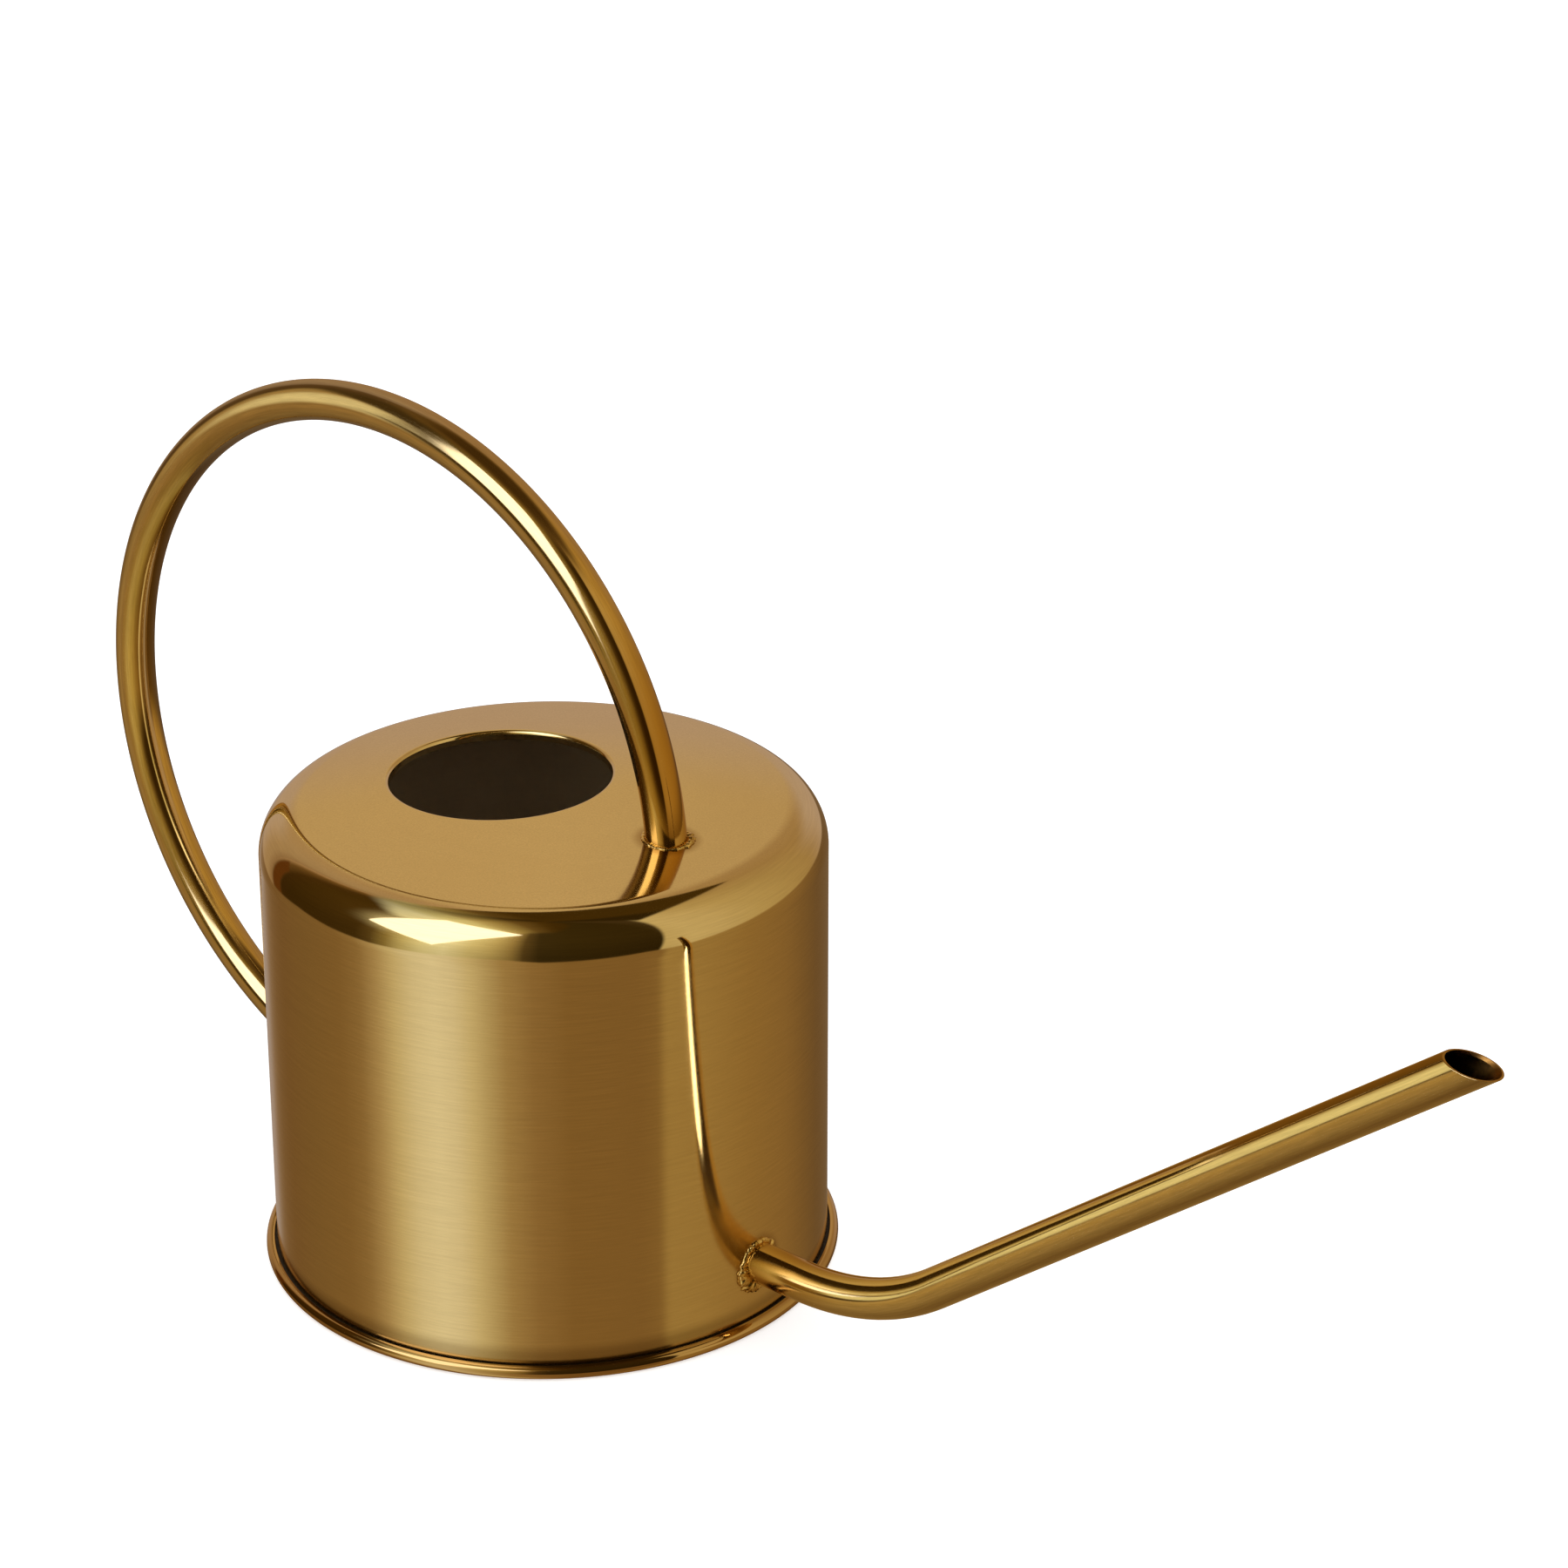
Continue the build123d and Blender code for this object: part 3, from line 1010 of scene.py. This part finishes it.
def handle_sky(sky):
    """The studio from the handle, which stands higher and further back, so that the
    softbox and the openings are lower from there."""
    net = sky.net
    dark = sky.by_turn(
        (-180, seen(82, 54, 22)),
        (-170, seen(74, 50, 18)),
        (-156, seen(64, 42, 11)),
        (-128, seen(62, 42, 12)),
        (-98, seen(140, 106, 42)),
        (-80, seen(142, 106, 36)),
        (-68, seen(118, 84, 27)),
        (-56, seen(72, 46, 10)),
        (-46, seen(52, 30, 3)),
        (-32, seen(52, 30, 3)),
        (180, seen(82, 54, 22)),
    )
    wall = sky.by_turn(
        (-180, seen(82, 54, 22)),
        (-27, seen(166, 122, 52)),
        (-10, seen(178, 131, 55)),
        (25, seen(172, 123, 45)),
        (60, seen(160, 112, 40)),
        (95, seen(150, 106, 50)),
        (130, seen(150, 111, 63)),
        (150, seen(150, 116, 72)),
        (163, seen(134, 102, 64)),
        (171, seen(90, 62, 28)),
        (180, seen(82, 54, 22)),
    )
    colour = net.mix(net.span(sky.turn, 0.415, 0.435), dark, wall)
    overhead = sky.by_height((58, seen(102, 68, 22)), (72, seen(66, 40, 8)), (90, seen(64, 39, 8)))
    colour = net.mix(net.span(sky.height, 50.0, 66.0), colour, overhead)
    patch = sky.panel([(-171, 31), (-171, -14), (-130, -16), (-127, 26), (-148, 33)], 0.09)
    glow = net.mix(sky.spot(-139, 10, 3, 26), seen(154, 116, 56), seen(214, 184, 114))
    colour = net.mix(patch, colour, glow)
    table = sky.by_turn(
        (-180, seen(124, 90, 42)),
        (-152, seen(148, 110, 52)),
        (-134, seen(142, 102, 46)),
        (-124, seen(142, 102, 42)),
        (-112, seen(154, 114, 47)),
        (-97, seen(178, 140, 64)),
        (-71, seen(175, 135, 54)),
        (-44, seen(138, 96, 31)),
        (-20, seen(104, 64, 12)),
        (10, seen(80, 44, 4)),
        (50, seen(84, 52, 13)),
        (110, seen(92, 66, 38)),
        (150, seen(120, 94, 60)),
        (180, seen(124, 90, 42)),
    )
    depth = sky.by_height(
        (-90, (0.58, 0.58, 0.58)), (-65, (0.64, 0.63, 0.62)), (-50, (0.72, 0.71, 0.70)),
        (-36, (0.82, 0.81, 0.80)), (-24, (1, 1, 1)),
    )
    table = net.mix(1.0, table, depth, "MULTIPLY")
    colour = net.mix(net.span(sky.height, -20.0, -5.0), table, colour)
    gap = sky.panel([(-132, 2), (-129, -12), (-110, -11), (-106, 0)], 0.03)
    colour = net.mix(gap, colour, seen(66, 43, 9))
    lamp = sky.panel([(-114, 47), (-122.5, 2), (-94, 2), (-75, 29), (-81, 49)], 0.025)
    return net.mix(lamp, colour, SOFTBOX)


def spout_sky(sky):
    """The studio from the spout, in front of the body: the softbox is wider from here."""
    net = sky.net
    room = sky.by_turn(
        (-180, seen(76, 46, 6)),
        (-175, seen(60, 34, 2)),
        (-160, seen(60, 36, 6)),
        (-120, seen(62, 40, 10)),
        (-60, seen(56, 34, 5)),
        (-30, seen(120, 84, 28)),
        (20, seen(172, 123, 45)),
        (95, seen(150, 106, 46)),
        (125, seen(122, 74, 16)),
        (165, seen(106, 64, 12)),
        (173, seen(98, 60, 12)),
        (180, seen(76, 46, 6)),
    )
    overhead = net.span(sky.height, 44.0, 54.0)
    colour = net.mix(overhead, room, seen(44, 22, 2))
    glow = net.mix(sky.spot(-145, 6, 4, 30), seen(150, 110, 44), seen(222, 192, 112))
    patch = sky.panel([(-174, 44), (-174, -9), (-138, -9), (-128, 0), (-128, 30), (-146, 45)], 0.05)
    colour = net.mix(patch, colour, glow)
    gap = sky.panel([(-131, 8), (-126, -14), (-60, -14), (-60, 8)], 0.03)
    colour = net.mix(gap, colour, seen(132, 90, 28))
    table = sky.by_height(
        (-82, seen(108, 75, 30)),
        (-60, seen(126, 92, 40)),
        (-45, seen(143, 107, 49)),
        (-30, seen(150, 112, 50)),
        (-18, seen(166, 124, 54)),
        (-12, seen(170, 130, 62)),
    )
    colour = net.mix(net.span(sky.height, -14.0, -8.0), table, colour)
    lamp = sky.panel([(-118, 62), (-140, 42), (-141, 6), (-104, 10), (-98, 58)], 0.02)
    light = net.mix(net.span(sky.height, 4.0, 22.0), scaled(SOFTBOX, 0.75), scaled(SOFTBOX, 1.7))
    colour = net.mix(lamp, colour, light)
    beside = sky.panel([(-112, 66), (-110, 8), (-66, 6), (-72, 46)], 0.02)
    return net.mix(beside, colour, scaled(SOFTBOX, 2.2))


def globe(radius, rows=16, columns=32):
    """Points and faces of a globe, its faces turned inwards."""
    points = [(0, 0, -radius)]
    for i in range(1, rows):
        for j in range(columns):
            points.append(toward(360 * j / columns, -90 + 180 * i / rows) * radius)
    points.append((0, 0, radius))
    top = len(points) - 1
    faces = []
    for j in range(columns):
        k = (j + 1) % columns
        faces.append((0, 1 + k, 1 + j))
        for i in range(rows - 2):
            a = 1 + i * columns
            faces.append((a + j, a + k, a + columns + k, a + columns + j))
        faces.append((top, top - columns + j, top - columns + k))
    return points, faces


def stage_piece(name, points, faces, material):
    """An object that lights the can or that it stands on, and isn't part of it."""
    mesh = bpy.data.meshes.new(name)
    mesh.from_pydata(points, [], faces)
    mesh.materials.append(material)
    piece = bpy.data.objects.new(name, mesh)
    bpy.context.scene.collection.objects.link(piece)
    return piece


def make_dome(name, paint, radius, seen_by):
    """A glowing shell that only the reflections in the named pieces see."""
    material = bpy.data.materials.new(name)
    material.use_nodes = True
    net = Net(material.node_tree)
    ray = net.vector("NORMALIZE", net.place())
    glow = net.add("Emission", paint(Sky(net, ray)), 1.0)
    clear = net.add("BsdfTransparent")
    both = net.add("AddShader", glow.outputs[0], clear.outputs[0])
    output = net.add("OutputMaterial")
    net.tree.links.new(both.outputs[0], output.inputs[0])
    material.cycles.emission_sampling = "NONE"
    dome = stage_piece(name, *globe(radius), material)
    dome.visible_camera = False
    dome.visible_diffuse = False
    dome.visible_transmission = False
    dome.visible_shadow = False
    receivers = bpy.data.collections.new(name + "_receivers")
    for piece in seen_by:
        receivers.objects.link(piece)
    dome.light_linking.receiver_collection = receivers


def make_world():
    """Plain white for the camera and for scattered light; reflections see the domes."""
    world = bpy.data.worlds.new("studio")
    bpy.context.scene.world = world
    world.use_nodes = True
    net = Net(world.node_tree)
    path = net.add("LightPath").outputs
    light = net.math("SUBTRACT", 1.0, path["Is Glossy Ray"])
    white = net.add("Background", (1, 1, 1, 1), light)
    output = net.add("OutputWorld")
    net.tree.links.new(white.outputs[0], output.inputs[0])


def make_floor():
    """The pale floor that the camera sees. Reflections see the tan table instead."""
    size = 3.0
    material, _, shader = surface("floor", 0.0)
    for name, value in (
        ("Base Color", (0.8, 0.8, 0.8, 1)),
        ("Roughness", 1.0),
        ("Specular IOR Level", 0.0),
        ("Emission Color", (1, 1, 1, 1)),
        ("Emission Strength", 0.55),
    ):
        shader.inputs[name].default_value = value
    corners = [(-size, -size, 0), (size, -size, 0), (size, size, 0), (-size, size, 0)]
    floor = stage_piece("floor", corners, [(0, 1, 2, 3)], material)
    floor.visible_glossy = False


def make_camera():
    """Long lens from the front right, looking a little down."""
    data = bpy.data.cameras.new("camera")
    data.sensor_width = 36.0
    data.lens = 108.405
    data.clip_start = 0.01
    data.clip_end = 50.0
    camera = bpy.data.objects.new("camera", data)
    bpy.context.scene.collection.objects.link(camera)
    camera.location = (0.68172, -0.70105, 0.55977)
    camera.rotation_euler = toward(130.99, -24.416).to_track_quat("-Z", "Y").to_euler()
    bpy.context.scene.camera = camera
    bpy.context.scene.view_settings.view_transform = "Standard"


make_world()
# Shells of the same radius would hide each other
make_dome("body_studio", body_sky, 40.0, [body, base, seal] + welds)
make_dome("handle_studio", handle_sky, 44.0, [handle])
make_dome("spout_studio", spout_sky, 48.0, [spout])
make_floor()
make_camera()

bpy.context.view_layer.update()
